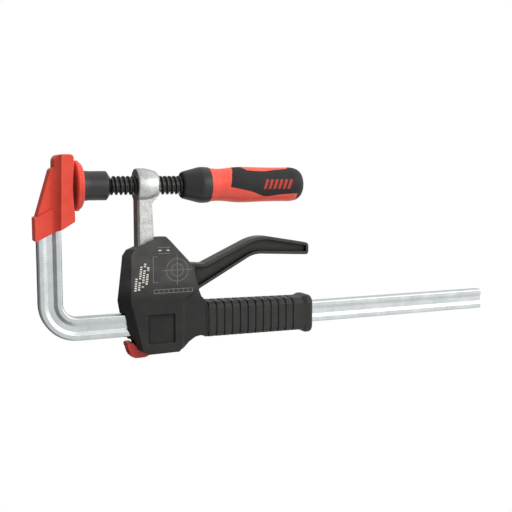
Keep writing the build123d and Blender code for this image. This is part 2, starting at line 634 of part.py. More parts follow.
# ---------------------------------------------------------------- grip
def grip():
    left, right = NECK_X + 0.3, GRIP_RIGHT - FLANGE_THICK - FLARE
    near = section(*grip_box(left, 0), GRIP_CORNER, left)
    far = section(*grip_box(right, 0), GRIP_CORNER, right)
    body = loft([near, far])
    for k in range(RIB_COUNT):
        x = left + 0.6 + RIB_PITCH * k
        outer, floor = (section(*grip_box(x, depth), GRIP_CORNER, x) for depth in (-3, GROOVE_DEEP))
        body -= extrude(outer - floor, amount=GROOVE_WIDE)
    start = GRIP_RIGHT - FLANGE_THICK
    top, low = RAIL_TOP + FLANGE_OVER, RAIL_BOTTOM - FLANGE_UNDER
    wide = ((top + low) / 2, top - low, GRIP_HALF + FLANGE_SIDE)
    flare = loft([section(*grip_box(right, 0), GRIP_CORNER, right), section(*wide, 7.5, start)])
    rim = extrude(section(*wide, 7.5, start), amount=FLANGE_THICK)
    rim = fillet(rim.faces().sort_by(Axis.X)[-1].edges(), 2.2)
    return body + flare + rim - rail_way(0, RAIL_END_X, PASS) - spigot(FIT)


# ---------------------------------------------------------------- trigger lever
def lever_outline():
    points = [(PIVOT_X + dx, PIVOT_Z + dz) for dx, dz in LEVER_LINE]
    turns = [LEVER_ELBOW, LEVER_CREST, TIP_OVER, TIP_UNDER, LEVER_BELLY]
    return rounded(points, [(radius, (corner,)) for corner, radius in enumerate(turns, start=1)])


def trigger_lever():
    blade = plate(lever_outline(), -LEVER_HALF, LEVER_HALF)
    tip = max(dx for dx, dz in LEVER_LINE)
    field = Pos(PIVOT_X + POCKET_LEFT, PIVOT_Z) * Rectangle(tip, tip, align=(Align.MIN, Align.CENTER))
    pocket = offset(lever_outline(), -LEVER_RIM, kind=Kind.ARC) & field
    for side in (-1, 1):
        blade -= plate(pocket, *sorted((side * LEVER_WEB, side * (LEVER_HALF + 1))))
    hub = pin_y(PIVOT_X, PIVOT_Z, HUB_RADIUS, -LEVER_HALF, LEVER_HALF)
    reach = math.hypot(DRIVE_PIN_X - PIVOT_X, DRIVE_PIN_Z - PIVOT_Z)
    turn = math.degrees(math.atan2(DRIVE_PIN_Z - PIVOT_Z, DRIVE_PIN_X - PIVOT_X))
    strip = Pos(PIVOT_X, PIVOT_Z) * Rot(0, 0, turn) * Pos(reach / 2, 0) * SlotCenterToCenter(reach, 7.2)
    fork = Rectangle(2 * (PIVOT_X - HUB_RADIUS - DRIVE_PIN_X), 4 * reach)
    cheeks = plate(strip, -LEVER_HALF, LEVER_HALF) - plate(
        Pos(DRIVE_PIN_X, DRIVE_PIN_Z) * fork, -PLATE_NECK - RUN, PLATE_NECK + RUN
    )
    bore = pin_y(PIVOT_X, PIVOT_Z, PIVOT_RADIUS + PIN_FIT, -20, 20)
    return blade + hub + cheeks - bore - drive_pin()


def drive_pin():
    return pin_y(DRIVE_PIN_X, DRIVE_PIN_Z, DRIVE_PIN_RADIUS, -LEVER_HALF, LEVER_HALF)


def trigger_pin():
    return pin_y(PIVOT_X, PIVOT_Z, PIVOT_RADIUS, -PIVOT_PIN_HALF, PIVOT_PIN_HALF)


def drive_plate(index):
    x = DRIVE_X + index * DRIVE_PLATE
    low, top = RAIL_BOTTOM - PLATE_UNDER, RAIL_TOP + PLATE_OVER
    wide = block((x, x + DRIVE_PLATE), (-PLATE_HALF, PLATE_HALF), (low, top))
    neck = block((x, x + DRIVE_PLATE), (-PLATE_NECK, PLATE_NECK), (top - 1, DRIVE_PIN_Z + 7))
    return wide + neck - rail_way(x - 1, x + DRIVE_PLATE + 1, SLIDE_GAP)


def coil(low, high, turns):
    """A compression spring round the rail, from x = low to x = high."""
    steps = COIL_SIDES * turns
    rise = (high - low - 2 * WIRE_RADIUS) / steps
    points = []
    for k in range(steps + 1):
        angle = 2 * math.pi * k / COIL_SIDES
        points.append((low + WIRE_RADIUS + rise * k, COIL_RADIUS * math.cos(angle),
                       RAIL_MID + COIL_RADIUS * math.sin(angle)))
    path = Polyline(*points)
    start = Plane(origin=path @ 0, z_dir=path % 0)
    return sweep(start * Circle(WIRE_RADIUS), path=path, transition=Transition.RIGHT)


# ---------------------------------------------------------------- brake and release
def brake_plate():
    x, top = BRAKE_X, BRAKE_TOP
    body = block((x, x + BRAKE_THICK), (-PLATE_HALF, PLATE_HALF), (RAIL_BOTTOM - PLATE_UNDER, top))
    body += block((x, x + BRAKE_THICK), (-TONGUE_HALF, TONGUE_HALF), (top - BRAKE_REACH, top - 10))
    body -= block(
        (x - 1, x + BRAKE_THICK + 1), (-RAIL_THICK / 2 - SLIDE_GAP, RAIL_THICK / 2 + SLIDE_GAP),
        (RAIL_BOTTOM - 0.5, RAIL_TOP + 0.5),
    )
    pivot = Pos(x, 0, top)
    return pivot * Rot(0, BRAKE_TILT, 0) * Pos(-x, 0, -top) * body


def release_bar():
    points = [(HOUSE_X + dx, RAIL_BOTTOM + dz) for dx, dz in BAR_LINE]
    body = plate(rounded(points, [(BAR_ROUND, (0, 1, 2, 8, 9, 10))]), -BAR_HALF, BAR_HALF)
    top, low = points[0], points[-1]
    slant = math.atan2(low[0] - top[0], top[1] - low[1])
    for k in range(TOOTH_COUNT):
        step = 1.2 + TOOTH * k
        x, z = top[0] + step * math.sin(slant), top[1] - step * math.cos(slant)
        body -= Pos(x, 0, z) * Rot(0, 45, 0) * Box(TOOTH_SIZE, 2 * BAR_HALF + 1, TOOTH_SIZE)
    slot_left = BRAKE_X - BRAKE_REACH * math.sin(math.radians(BRAKE_TILT)) - 0.4
    slot = block((slot_left, slot_left + BRAKE_THICK + 1.0), (-TONGUE_HALF - RUN, TONGUE_HALF + RUN),
                 (RAIL_BOTTOM - 20, RAIL_BOTTOM))
    return body - slot


# ---------------------------------------------------------------- write every piece
def build():
    rail, inner = profile_rail(), jaw_plate()
    cross_pin = handle_pin()
    shaft = spindle(cross_pin)
    core, insert = handle_parts(shaft, cross_pin)
    steel = pressure_plate()
    screws = Compound([screw(x, z) for x, z in house(SCREWS)])
    return {
        "profile_rail": rail,
        "jaw_plate": inner,
        "jaw_cap": jaw_cap(rail, inner),
        "pad_cap": pad_cap(steel),
        "pressure_plate": steel,
        "swivel_sleeve": swivel_sleeve(),
        "retaining_ring": retaining_ring(),
        "ball_cup": ball_cup(),
        "spindle": shaft,
        "handle_pin": cross_pin,
        "handle_nose": handle_nose(shaft),
        "handle_core": core,
        "handle_panels": insert,
        "sliding_arm": sliding_arm(),
        "housing_front": housing_shell(-1),
        "housing_rear": housing_shell(1),
        "housing_screws": screws,
        "grip": grip(),
        "trigger_lever": trigger_lever(),
        "trigger_pin": trigger_pin(),
        "drive_pin": drive_pin(),
        "drive_plate_left": drive_plate(0),
        "drive_plate_right": drive_plate(1),
        "drive_spring": coil(DRIVE_RIGHT + 0.2, SPRING_STOP_X, 4),
        "brake_plate": brake_plate(),
        "brake_spring": coil(BRAKE_X + BRAKE_THICK + 0.2, SEAT_X, 2),
        "release_bar": release_bar(),
    }


os.makedirs("parts", exist_ok=True)
for name, piece in build().items():
    export_step(piece, f"parts/{name}.step")
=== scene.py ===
import json
import math
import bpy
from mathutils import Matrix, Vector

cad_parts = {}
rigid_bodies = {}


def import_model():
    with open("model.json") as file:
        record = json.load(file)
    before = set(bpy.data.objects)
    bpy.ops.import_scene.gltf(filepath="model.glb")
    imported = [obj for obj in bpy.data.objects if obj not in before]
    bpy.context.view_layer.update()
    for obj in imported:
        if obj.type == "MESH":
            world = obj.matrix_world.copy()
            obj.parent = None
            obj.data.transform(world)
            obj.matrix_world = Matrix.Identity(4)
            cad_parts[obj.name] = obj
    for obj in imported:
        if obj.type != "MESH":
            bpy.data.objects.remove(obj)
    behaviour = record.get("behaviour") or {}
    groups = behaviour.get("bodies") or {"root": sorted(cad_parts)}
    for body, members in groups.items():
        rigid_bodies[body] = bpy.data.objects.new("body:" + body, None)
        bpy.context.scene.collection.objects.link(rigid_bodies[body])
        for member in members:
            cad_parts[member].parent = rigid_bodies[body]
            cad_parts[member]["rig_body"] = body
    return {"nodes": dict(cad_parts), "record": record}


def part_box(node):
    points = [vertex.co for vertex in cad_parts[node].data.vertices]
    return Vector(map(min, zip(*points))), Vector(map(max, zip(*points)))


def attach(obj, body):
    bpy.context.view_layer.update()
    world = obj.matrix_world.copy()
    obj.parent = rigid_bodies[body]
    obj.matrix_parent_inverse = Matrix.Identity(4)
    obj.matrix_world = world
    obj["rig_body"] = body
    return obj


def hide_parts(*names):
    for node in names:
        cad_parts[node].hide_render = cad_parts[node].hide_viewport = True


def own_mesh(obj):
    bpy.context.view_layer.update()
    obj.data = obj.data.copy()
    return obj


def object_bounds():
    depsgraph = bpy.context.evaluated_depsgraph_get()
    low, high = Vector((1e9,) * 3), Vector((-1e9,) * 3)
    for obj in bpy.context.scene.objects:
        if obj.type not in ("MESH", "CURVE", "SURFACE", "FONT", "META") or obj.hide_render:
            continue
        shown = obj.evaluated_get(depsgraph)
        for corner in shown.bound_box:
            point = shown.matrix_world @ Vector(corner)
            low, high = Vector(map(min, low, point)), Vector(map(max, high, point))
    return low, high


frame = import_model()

from types import SimpleNamespace

import bmesh
import bpy
from mathutils import Vector
from mathutils.kdtree import KDTree

CAD_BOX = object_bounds()

# Camera. It stands on the lever side of the clamp, a little above the spindle's height, and looks
# across the rail, far enough away for a mild perspective.
MM = 0.001
LENS, SENSOR = 56.825, 36
CAMERA_AT = Vector((-123.3, -663.4, 12.8)) * MM
TURN, DROP = math.radians(23.38), math.radians(6.07)
NEAREST = 10 * MM  # what is nearer isn't drawn

camera = bpy.data.objects.new("camera", bpy.data.cameras.new("camera"))
bpy.context.scene.collection.objects.link(camera)
camera.data.lens = LENS
camera.data.sensor_width = SENSOR
camera.data.clip_start = NEAREST
camera.location = CAMERA_AT
camera.rotation_euler = (math.pi / 2 - DROP, 0, -TURN)
bpy.context.scene.camera = camera

# Studio: a white sweep of floor far below the clamp, soft lamps above and to the right, and a pale room
# that is dimmer on its left. Gloss sees a long soft box in front on the right, above the horizon, and the
# white floor, which glows to gloss by itself as painted light. The world is dark behind on the left, like a
# black flag, and the floor's glow before it is painted dark too.
FLOOR_DROP = 450 * MM
FLOOR_SPAN = 30.0  # metres
WHITE, PAPER, ROOM = "#FFFFFF", "#E4E4E4", "#E8EEF2"
ROOM_LEFT, ROOM_RIGHT = 0.32, 0.6  # how brightly the room lights the clamp
LEFT_WALL, RIGHT_WALL, BACK_WALL = 0.3, 1.0, 0.75  # how bright gloss sees the walls
FLAG_TOWARDS, FLAG_DARK = (-0.5, 0.866, 0.0), 0.06
SOFT_BOX = 1.5
UNDER_SHADE = 0.85  # painted shade on the floor's glow just below the clamp, against the floor far off
UNDER_REACH = (0.4, 3.0)  # metres
# Where one gives way to the next, on the X, Y and Z of a direction of length 1.
ACROSS_ROOM, ACROSS_WALLS, TO_BACK, TO_FLAG = (-0.8, 0.2), (-0.5, 0.45), (0.3, 0.8), (0.88, 0.96)
BOX_FOOT, BOX_TOP, BOX_BACK, BOX_SIDE = (0.0, 0.12), (0.45, 0.7), (-0.2, 0.3), (0.1, 0.35)


def linear(code):
    """An sRGB hex value as linear red, green, blue and alpha."""
    parts = [int(code[i:i + 2], 16) / 255 for i in (1, 3, 5)]
    return [c / 12.92 if c <= 0.04045 else ((c + 0.055) / 1.055) ** 2.4 for c in parts] + [1]


def add(tree, kind, links=None, **settings):
    """Adds a node. Settings are its own properties, or socket values where the name is a socket."""
    node = tree.nodes.new(kind)
    for key, value in settings.items():
        if hasattr(node, key):
            setattr(node, key, value)
        else:
            node.inputs[key.replace("_", " ")].default_value = value
    for key, source in (links or {}).items():
        tree.links.new(source, node.inputs[key])
    return node


def graded(tree, *steps, curve="LINEAR"):
    """The product of several values, each carried from one range to another."""
    product = None
    for value, (start, end), (low, high) in steps:
        part = add(
            tree, "ShaderNodeMapRange", {"Value": value}, interpolation_type=curve,
            From_Min=start, From_Max=end, To_Min=low, To_Max=high,
        ).outputs[0]
        if product is not None:
            part = add(tree, "ShaderNodeMath", {0: product, 1: part}, operation="MULTIPLY").outputs[0]
        product = part
    return product


def walls(tree, heading):
    """How bright gloss sees a direction, with its X, its Y and its Z."""
    aside, ahead, above = add(tree, "ShaderNodeSeparateXYZ", {0: heading}).outputs
    facing = add(tree, "ShaderNodeVectorMath", {0: heading}, operation="DOT_PRODUCT")
    facing.inputs[1].default_value = FLAG_TOWARDS
    bright = graded(
        tree, (aside, ACROSS_WALLS, (LEFT_WALL, RIGHT_WALL)), (ahead, TO_BACK, (1, BACK_WALL)),
        (facing.outputs["Value"], TO_FLAG, (1, FLAG_DARK)), curve="SMOOTHSTEP",
    )
    return bright, aside, ahead, above


def by_ray(tree, kind, lit, mirrored):
    """Joins what lights the clamp with how bright gloss sees it, and plain white for the camera."""
    path = add(tree, "ShaderNodeLightPath").outputs
    seen = add(tree, kind, {"Strength": mirrored}, Color=linear(WHITE)).outputs[0]
    plain = add(tree, kind, Color=linear(WHITE), Strength=1.0).outputs[0]
    gloss = add(tree, "ShaderNodeMixShader", {0: path["Is Glossy Ray"], 1: lit, 2: seen}).outputs[0]
    return add(tree, "ShaderNodeMixShader", {0: path["Is Camera Ray"], 1: gloss, 2: plain}).outputs[0]


world = bpy.data.worlds.new("studio")
bpy.context.scene.world = world
world.use_nodes = True
tree = world.node_tree
tree.nodes.clear()
bright, aside, ahead, above = walls(tree, add(tree, "ShaderNodeTexCoord").outputs["Generated"])
box = graded(
    tree, (above, BOX_FOOT, (0, SOFT_BOX)), (above, BOX_TOP, (1, 0)), (ahead, BOX_BACK, (1, 0)),
    (aside, BOX_SIDE, (0, 1)), curve="SMOOTHSTEP",
)
dim = graded(tree, (aside, ACROSS_ROOM, (ROOM_LEFT, ROOM_RIGHT)), curve="SMOOTHSTEP")
room = add(tree, "ShaderNodeBackground", {"Strength": dim}, Color=linear(ROOM))
gleam = add(tree, "ShaderNodeMath", {0: bright, 1: box}, operation="ADD")
light = by_ray(tree, "ShaderNodeBackground", room.outputs[0], gleam.outputs[0])
add(tree, "ShaderNodeOutputWorld", {"Surface": light})

bpy.ops.mesh.primitive_plane_add(size=FLOOR_SPAN, location=(0, 0, CAD_BOX[0].z - FLOOR_DROP))
floor = bpy.context.object
floor.name = "floor"
paper = bpy.data.materials.new("white paper floor")
paper.use_nodes = True
tree = paper.node_tree
tree.nodes.clear()
spot = add(tree, "ShaderNodeTexCoord").outputs["Object"]
heading = add(tree, "ShaderNodeVectorMath", {0: spot}, operation="NORMALIZE")
reach = add(tree, "ShaderNodeVectorMath", {0: spot}, operation="LENGTH")
# Painted light: to gloss the floor glows, dimmer to the left and before the flag, with painted shade just
# below the clamp.
shade = graded(tree, (reach.outputs["Value"], UNDER_REACH, (UNDER_SHADE, 1)), curve="SMOOTHSTEP")
bright = walls(tree, heading.outputs["Vector"])[0]
glow = add(tree, "ShaderNodeMath", {0: bright, 1: shade}, operation="MULTIPLY")
paint = add(tree, "ShaderNodeBsdfDiffuse", Color=linear(PAPER))
light = by_ray(tree, "ShaderNodeEmission", paint.outputs[0], glow.outputs[0])
add(tree, "ShaderNodeOutputMaterial", {"Surface": light})
floor.data.materials.append(paper)

LAMPS_AIM = Vector((0.1, 0, -0.06))  # the middle of the clamp
# Each lamp's place, its power in watts, its width and its height. Places and sizes are in metres.
for name, place, power, width, height in (
    ("key", (0.75, -1.15, 0.9), 17, 0.9, 0.7),
    ("top", (0.2, 0.1, 1.3), 12, 1.2, 0.8),
    ("back", (0.7, 1.2, 0.5), 6, 1.2, 0.8),
):
    lamp = bpy.data.lights.new(name, "AREA")
    lamp.shape = "RECTANGLE"
    lamp.size, lamp.size_y, lamp.energy = width, height, power
    holder = bpy.data.objects.new(name, lamp)
    bpy.context.scene.collection.objects.link(holder)
    holder.location = place
    holder.visible_glossy = False
    holder.rotation_euler = (LAMPS_AIM - holder.location).to_track_quat("-Z", "Y").to_euler()

# Profile rail: bar steel drawn to a grooved profile, bent cold into the fixed arm, and zinc plated.
# The plating leaves a bright satin skin with soft blotches and a very fine grain.
slots = {row["node"]: row["material_slot"] for row in frame["record"]["subparts"]}
ROUNDING = "bevel_weight_edge"  # Blender's name for how much of its rounding each edge gets
SAME_CORNER = 0.004 * MM
SAME_PLANE = math.radians(0.4)
NARROWINGS = 5  # how often the rounding may be halved
STRAIGHT_ON = math.radians(30)  # edges that turn by less make one run
SPECK = 0.1 * MM  # a turned over triangle no larger than this each way doesn't show
FACES_AWAY = 0.3  # the most that a turned over triangle's normal has in common with its polygon's
SMOOTH_MORE = 8  # faces that turn by the crease and these degrees are still shaded as one


def turned_over(mesh):
    """The corners of the triangles that face away from their own polygon, as where it crosses itself."""
    mesh.calc_loop_triangles()
    wrong = [
        mesh.vertices[corner].co.copy() for part in mesh.loop_triangles
        if part.area > SPECK ** 2 and part.normal.dot(mesh.polygons[part.polygon_index].normal) < FACES_AWAY
        for corner in part.vertices
    ]
    tree = KDTree(len(wrong))
    for index, spot in enumerate(wrong):
        tree.insert(spot, index)
    tree.balance()
    return tree if wrong else None


def runs(mesh, edges):
    """The run that each of these edges belongs to, where a run goes on nearly straight."""
    run = {edge.index: edge.index for edge in edges}
    at_corner = {}
    for edge in edges:
        for corner in edge.vertices:
            at_corner.setdefault(corner, []).append(edge)

    def first(index):
        while run[index] != index:
            index = run[index]
        return index

    for corner, meeting in at_corner.items():
        spot = mesh.vertices[corner].co
        ways = []
        for edge in meeting:
            far = edge.vertices[0] if edge.vertices[1] == corner else edge.vertices[1]
            ways.append((mesh.vertices[far].co - spot).normalized())
        for k, way in enumerate(ways):
            for m in range(k):
                if way.dot(ways[m]) < -math.cos(STRAIGHT_ON):
                    run[first(meeting[k].index)] = first(meeting[m].index)
    return {index: first(index) for index in run}


def rounded_off(piece, width, segments, crease, hollows):
    """Rounds a piece's sharp edges.

    Where the rounding runs into a narrow corner, it is halved on the edges there until no face is
    turned over.
    """
    mesh = bmesh.new()
    mesh.from_mesh(piece.data)
    weight = mesh.edges.layers.float.new(ROUNDING)
    for edge in mesh.edges:
        if edge.calc_face_angle(0) > math.radians(crease) and (hollows or edge.is_convex):
            edge[weight] = 1
    mesh.to_mesh(piece.data)
    mesh.free()
    bevel = piece.modifiers.new("edges", "BEVEL")
    bevel.width = width * MM
    bevel.segments = segments
    bevel.limit_method = "WEIGHT"
    bevel.use_clamp_overlap = False
    corners = piece.data.vertices
    shares = piece.data.attributes[ROUNDING].data
    rounded = [edge for edge in piece.data.edges if shares[edge.index].value]
    run = runs(piece.data, rounded)
    for _ in range(NARROWINGS):
        wrong = turned_over(piece.evaluated_get(bpy.context.evaluated_depsgraph_get()).data)
        if not wrong:
            break
        narrow = {
            run[edge.index] for edge in rounded
            if min(wrong.find(corners[corner].co)[2] for corner in edge.vertices) < 2 * width * MM
        }
        shares = piece.data.attributes[ROUNDING].data  # fetched again, as the evaluation may move it
        for edge in rounded:
            if run[edge.index] in narrow:
                shares[edge.index].value /= 2
        piece.data.update()
    bpy.ops.object.modifier_apply(modifier=bevel.name)


def softened(name, skin, width=0.0, segments=3, crease=32, hollows=True):
    """A CAD piece as one joined mesh with slightly rounded edges and a skin, in place of its node.

    The width is in millimetres and the crease in degrees. Without hollows, only the edges that stand
    out are rounded, and inner corners stay crisp.
    """
    source = frame["nodes"][name]
    piece = bpy.data.objects.new(name + "_skin", source.data.copy())
    bpy.context.scene.collection.objects.link(piece)
    bpy.ops.object.select_all(action="DESELECT")
    bpy.context.view_layer.objects.active = piece
    piece.select_set(True)
    bpy.ops.mesh.customdata_custom_splitnormals_clear()
    bpy.ops.object.mode_set(mode="EDIT")
    bpy.ops.mesh.select_all(action="SELECT")
    bpy.ops.mesh.remove_doubles(threshold=SAME_CORNER)
    bpy.ops.mesh.normals_make_consistent(inside=False)
    bpy.ops.mesh.dissolve_limited(angle_limit=SAME_PLANE)
    bpy.ops.object.mode_set(mode="OBJECT")
    if width:
        rounded_off(piece, width, segments, crease, hollows)
    bpy.ops.object.shade_smooth_by_angle(angle=math.radians(crease + SMOOTH_MORE))
    even = piece.modifiers.new("even", "WEIGHTED_NORMAL")
    even.keep_sharp = True
    bpy.ops.object.modifier_apply(modifier=even.name)
    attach(piece, source["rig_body"])
    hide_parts(name)
    piece.data.materials.clear()
    piece.data.materials.append(skin.made)
    return piece


def given(skin, **outputs):
    """Links these outputs to the shader's sockets of the same names."""
    for socket, output in outputs.items():
        skin.tree.links.new(output, skin.shader.inputs[socket.replace("_", " ")])


def new_skin(name, cloud, grain=None, relief=0.0, metallic=0.0, roughness=0.5, shine=0.5):
    """A material with a cloudy pattern, and a fine grain that stands up by its relief in millimetres.

    Each pattern is given by its size in millimetres, its detail and its roughness.
    """
    made = bpy.data.materials.new(name)
    made.use_nodes = True
    tree = made.node_tree
    shader = tree.nodes["Principled BSDF"]
    shader.inputs["Metallic"].default_value = metallic
    shader.inputs["Roughness"].default_value = roughness
    shader.inputs["Specular IOR Level"].default_value = shine
    place = add(tree, "ShaderNodeTexCoord").outputs["Object"]
    at = add(tree, "ShaderNodeVectorMath", {0: place}, operation="SCALE", Scale=1 / MM).outputs[0]
    skin = SimpleNamespace(made=made, tree=tree, shader=shader, at=at)
    size, detail, rough = cloud
    skin.cloud = add(
        tree, "ShaderNodeTexNoise", {"Vector": at}, Scale=1 / size, Detail=detail, Roughness=rough,
    ).outputs[0]
    if grain:
        size, detail, rough = grain
        skin.grain = add(
            tree, "ShaderNodeTexNoise", {"Vector": at}, Scale=1 / size, Detail=detail, Roughness=rough,
        ).outputs[0]
        bump = add(tree, "ShaderNodeBump", {"Height": skin.grain}, Distance=relief * MM, Strength=1.0)
        given(skin, Normal=bump.outputs[0])
    return skin


def toned(skin, pattern, dark, light, span=(0.35, 0.65)):
    """Two written colours mixed by a pattern, over the span of it that is used."""
    share = graded(skin.tree, (pattern, span, (0, 1)))
    blend = add(skin.tree, "ShaderNodeMixRGB", {"Fac": share}, Color1=linear(dark), Color2=linear(light))
    return blend.outputs[0]


WIDE_SPAN = (0.3, 0.7)  # the span of a cloud that roughness follows
zinc = new_skin("zinc plated drawn steel", (14, 5, 0.62), (0.9, 3, 0.6), relief=0.006, metallic=1.0)
both = add(zinc.tree, "ShaderNodeMath", {0: zinc.cloud, 1: zinc.grain}, operation="ADD").outputs[0]
given(zinc, Base_Color=toned(zinc, both, "#C2C8CA", "#E2E6E7", span=(0.64, 1.32)),
      Roughness=graded(zinc.tree, (zinc.cloud, WIDE_SPAN, (0.2, 0.36))))
softened("profile_rail", zinc, width=0.35, crease=20)

# Fixed jaw's cap and the pad's cover: glass filled nylon moulded in signal red over the steel, with a fine
# eroded grain that gives a satin sheen. A deeper red is painted into its inner corners and narrow ways as
# shade.
# The red of the painted shade in inner corners.
CORNER_SHADE_RED = "#D01505"


def corner_shade(skin, depth, dark, span=(0.35, 0.9)):
    """Painted shade: a share that is dark in a skin's inner corners and ways about this many millimetres
    deep.
    """
    corner = add(skin.tree, "ShaderNodeAmbientOcclusion", Distance=depth * MM, samples=8, only_local=True)
    return graded(skin.tree, (corner.outputs["AO"], span, (dark, 1)))


def red_nylon(name, deep, dark, light, roughness):
    """Red plastic in two tones, with a third, deeper one painted into its inner corners as shade."""
    skin = new_skin(name, (9, 3, 0.5), (0.5, 2, 0.5), relief=0.02, roughness=roughness, shine=0.6)
    # Painted shade: the deeper red fills inner corners and narrow ways.
    unshaded = corner_shade(skin, depth=15, dark=0, span=(0.6, 1.0))
    tones = {"Fac": unshaded, "Color2": toned(skin, skin.cloud, dark, light)}
    given(skin, Base_Color=add(skin.tree, "ShaderNodeMixRGB", tones, Color1=linear(deep)).outputs[0])
    return skin


red = red_nylon("signal red nylon", CORNER_SHADE_RED, "#E24630", "#EA4E38", roughness=0.45)
softened("jaw_cap", red, width=0.7, crease=24)
softened("pad_cap", red, width=0.35)

# Swivel sleeve: black acetal turned to a smooth tapered collar and pressed over the spindle's ball.
# It's smoother than the housing, so it shows a clear highlight along its upper side.
acetal = new_skin("black acetal", (5, 3, 0.5), shine=0.7)
given(acetal, Base_Color=toned(acetal, acetal.cloud, "#191818", "#201F1F"),
      Roughness=graded(acetal.tree, (acetal.cloud, WIDE_SPAN, (0.3, 0.4))))
softened("swivel_sleeve", acetal, width=0.4)

# Spindle: steel with a rolled trapezoidal thread, blackened and oiled. The thread is right handed,
# 16 mm over its crests with a pitch of 4 mm, and starts a little way off the sleeve.
PITCH = 4.0
CREST, ROOT, NECK = 8.0, 6.0, 4.0  # radii
FLAT = 1.35  # width of the crest's and of the root's flat
THREAD_STEPS = 48  # round one turn
RUNOUT = 1.0  # from the sleeve to the thread
IN_THREAD, IN_NOSE = 1.0, 8  # how far the neck goes into the thread, and the thread into the nose
THREAD_ROUND, THREAD_SHARP, THREAD_SMOOTH = 0.3, math.radians(35), math.radians(40)
OIL_FILM, OIL_ROUGHNESS = 0.8, 0.08
CLOSE = 0.01 * MM  # corners as close as this are one
neck_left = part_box("spindle")[0].x / MM
thread_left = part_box("swivel_sleeve")[1].x / MM + RUNOUT
thread_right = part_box("handle_nose")[0].x / MM + IN_NOSE
turns = math.ceil((thread_right - thread_left) / PITCH) + 2

bpy.ops.object.select_all(action="DESELECT")
bpy.ops.mesh.primitive_grid_add(x_subdivisions=4, y_subdivisions=1, size=1)
thread = bpy.context.object
thread.name = "spindle_thread"
flank = (PITCH - 2 * FLAT) / 2
stations = [(0, ROOT), (FLAT, ROOT), (FLAT + flank, CREST), (2 * FLAT + flank, CREST), (PITCH, ROOT)]
mesh = bmesh.new()
mesh.from_mesh(thread.data)
row = sorted((corner for corner in mesh.verts if corner.co.y < 0), key=lambda corner: corner.co.x)
bmesh.ops.delete(mesh, geom=[corner for corner in mesh.verts if corner.co.y > 0], context="VERTS")
for corner, (along, radius) in zip(row, stations):
    corner.co = Vector((thread_left - PITCH + along, 0, radius)) * MM
mesh.to_mesh(thread.data)
mesh.free()
coil = thread.modifiers.new("coil", "SCREW")
coil.axis = "X"
coil.angle = 2 * math.pi
coil.screw_offset = PITCH * MM
coil.iterations = turns
coil.steps = coil.render_steps = THREAD_STEPS
coil.use_merge_vertices = True
coil.merge_threshold = CLOSE
bpy.ops.object.modifier_apply(modifier=coil.name)
bpy.ops.object.mode_set(mode="EDIT")
for cut, clear_low in ((thread_left, True), (thread_right, False)):
    bpy.ops.mesh.select_all(action="SELECT")
    bpy.ops.mesh.bisect(plane_co=(cut * MM, 0, 0), plane_no=(1, 0, 0), use_fill=True,
                        clear_inner=clear_low, clear_outer=not clear_low)
bpy.ops.mesh.select_all(action="SELECT")
bpy.ops.mesh.remove_doubles(threshold=CLOSE)
bpy.ops.mesh.normals_make_consistent(inside=False)
bpy.ops.object.mode_set(mode="OBJECT")
round_off = thread.modifiers.new("round", "BEVEL")
round_off.width, round_off.segments = THREAD_ROUND * MM, 2
round_off.limit_method, round_off.angle_limit = "ANGLE", THREAD_SHARP
round_off.use_clamp_overlap = False
bpy.ops.object.modifier_apply(modifier=round_off.name)
bpy.ops.object.shade_smooth_by_angle(angle=THREAD_SMOOTH)

bpy.ops.object.select_all(action="DESELECT")
neck_right = thread_left + IN_THREAD
bpy.ops.mesh.primitive_cylinder_add(
    vertices=THREAD_STEPS, radius=NECK * MM, depth=(neck_right - neck_left) * MM,
    location=((neck_right + neck_left) / 2 * MM, 0, 0), rotation=(0, math.pi / 2, 0),
)
neck = bpy.context.object
neck.name = "spindle_neck"
bpy.ops.object.transform_apply(location=True, rotation=True, scale=True)
neck.select_set(True)
thread.select_set(True)
bpy.context.view_layer.objects.active = thread
bpy.ops.object.join()

black_oxide = new_skin("blackened oiled steel", (2.5, 4, 0.5), metallic=0.75)
given(black_oxide, Base_Color=toned(black_oxide, black_oxide.cloud, "#242322", "#3A3836"),
      Roughness=graded(black_oxide.tree, (black_oxide.cloud, WIDE_SPAN, (0.2, 0.36))))
black_oxide.shader.inputs["Coat Weight"].default_value = OIL_FILM
black_oxide.shader.inputs["Coat Roughness"].default_value = OIL_ROUGHNESS
thread.data.materials.append(black_oxide.made)
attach(thread, "screw")
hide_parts("spindle")

# Sliding arm: a steel forging with its eye bored and threaded for the spindle, zinc plated over the
# forged skin. The skin is slightly pitted, so the plating glitters instead of mirroring.
forged = new_skin("zinc plated forging", (6, 5, 0.65), (1.1, 4, 0.65), relief=0.1, metallic=1.0)
both = add(forged.tree, "ShaderNodeMath", {0: forged.cloud, 1: forged.grain}, operation="ADD").outputs[0]
given(forged, Base_Color=toned(forged, both, "#B0B2AF", "#E4E6E2", span=(0.76, 1.2)),
      Roughness=graded(forged.tree, (forged.cloud, WIDE_SPAN, (0.32, 0.48))))
softened("sliding_arm", forged, width=0.6, crease=28)

# Handle: a red polypropylene core with a separate black nose at the spindle, and soft black panels
# moulded into its sides and end. The panels are matt rubber and sit flush. Six slanted red bars are
# printed on the side that faces the user.
# Its inner corners get the deeper red painted in as shade.
red_gloss = red_nylon("signal red polypropylene", CORNER_SHADE_RED, "#EC4A36", "#F45440", roughness=0.4)
softened("handle_core", red_gloss)


def matt_black(name, dark, light, roughness, grain, relief, shine=0.35):
    """Black plastic or rubber with an eroded or pebbled grain of the given size in millimetres."""
    skin = new_skin(name, (11, 4, 0.5), (grain, 2, 0.6), relief, roughness=roughness, shine=shine)
    given(skin, Base_Color=toned(skin, skin.cloud, dark, light))
    return skin


nose_black = matt_black("black nylon", "#1A1918", "#201F1E", 0.38, grain=0.5, relief=0.02, shine=0.6)
softened("handle_nose", nose_black, width=0.3)

